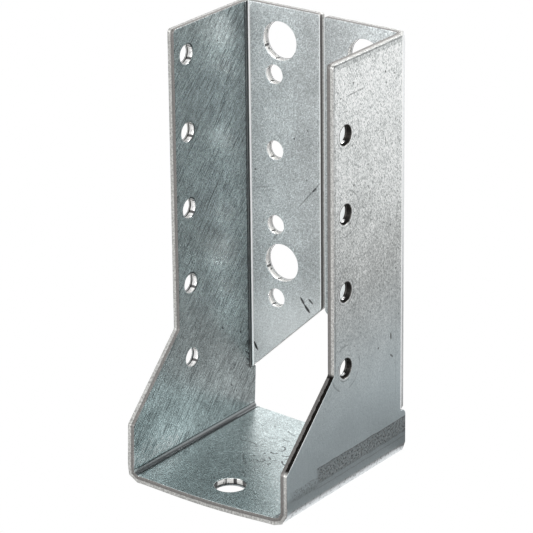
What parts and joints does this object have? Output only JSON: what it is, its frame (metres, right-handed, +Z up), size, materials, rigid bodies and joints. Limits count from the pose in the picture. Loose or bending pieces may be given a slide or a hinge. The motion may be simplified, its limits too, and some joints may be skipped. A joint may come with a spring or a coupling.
{
  "type": "joist hanger",
  "caption": "Galvanised sheet joist hanger with inward back flanges, staggered nail holes, bolt holes and a screw hole in the seat.",
  "frame": {"origin": "middle of the underside of the seat, in the middle of the outer width and depth", "axes": "+Z up along the side plates, +Y towards the beam behind the flanges, -Y out of the open front, +X to the right seen from the front"},
  "size_m": [0.049, 0.052, 0.112],
  "materials": {
    "galvanised_steel": "galvanised, satin, finely scratched"
  },
  "bodies": {
    "root": {"joist_hanger": "galvanised_steel"}
  },
  "joints": []
}
